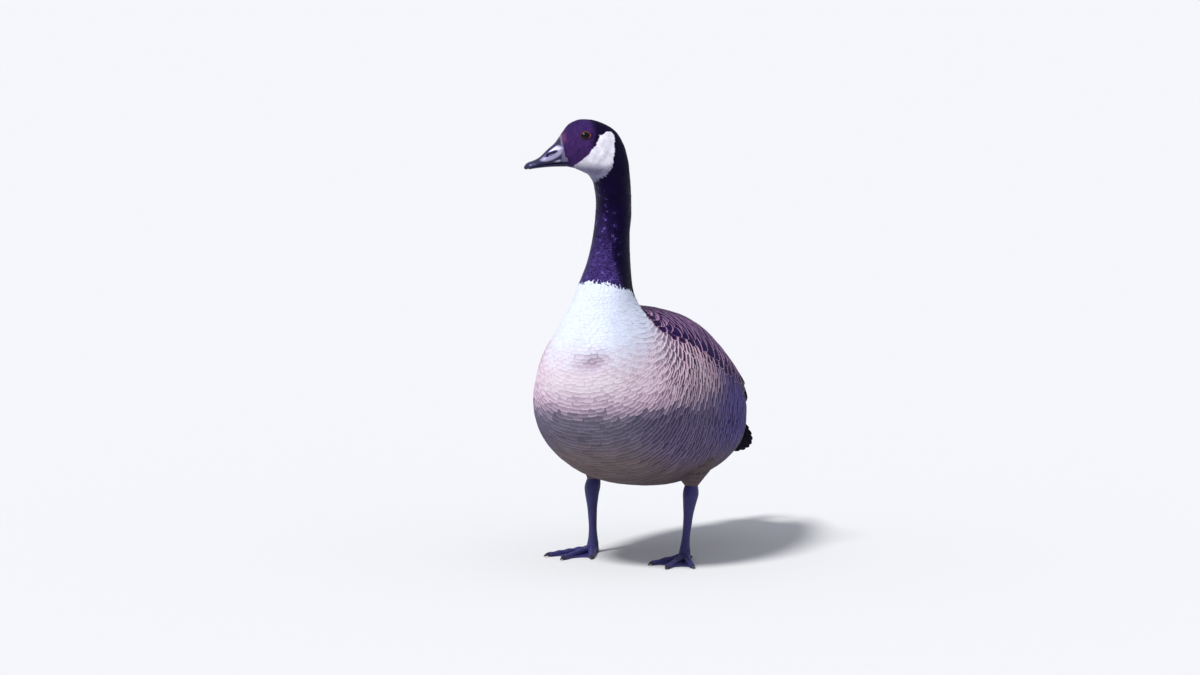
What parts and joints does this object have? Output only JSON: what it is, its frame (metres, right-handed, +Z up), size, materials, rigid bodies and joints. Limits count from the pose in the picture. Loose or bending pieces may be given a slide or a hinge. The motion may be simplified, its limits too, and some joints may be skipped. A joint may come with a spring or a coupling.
{
  "type": "canada goose figure",
  "caption": "Life-size standing Canada goose figure, neck upright and head turned to its right, wings folded.",
  "frame": {"origin": "on the floor, at the centre of the bottom of the whole bird's box", "axes": "+Z up; the bird faces -Y and its left side is at +X"},
  "size_m": [0.2242, 0.5072, 0.5844],
  "materials": {
    "body_plumage": "soft matt body feathers, white on the upper breast and grey-brown below",
    "neck_plumage": "short black neck feathers with a faint violet gloss",
    "head_plumage": "very short black head feathers with a white cheek patch",
    "wing_plumage": "brown feathers with pale edges",
    "tail_plumage": "black tail feathers under white coverts",
    "bill_horn": "slate-black horn, satin",
    "eye": "wet dark brown",
    "leg_skin": "dark scaly leg skin, satin",
    "claw_horn": "dark horn, satin"
  },
  "bodies": {
    "root": {"bill_lower": "bill_horn", "bill_upper": "bill_horn", "claw_left_hind": "claw_horn", "claw_left_inner": "claw_horn", "claw_left_middle": "claw_horn", "claw_left_outer": "claw_horn", "claw_right_hind": "claw_horn", "claw_right_inner": "claw_horn", "claw_right_middle": "claw_horn", "claw_right_outer": "claw_horn", "eye_left": "eye", "eye_right": "eye", "foot_left": "leg_skin", "foot_right": "leg_skin", "head": "head_plumage", "neck_lower": "neck_plumage", "neck_upper": "neck_plumage", "shank_left": "leg_skin", "shank_right": "leg_skin", "tail": "tail_plumage", "thigh_left": "body_plumage", "thigh_right": "body_plumage", "torso": "body_plumage", "wing_left": "wing_plumage", "wing_right": "wing_plumage"}
  },
  "joints": []
}
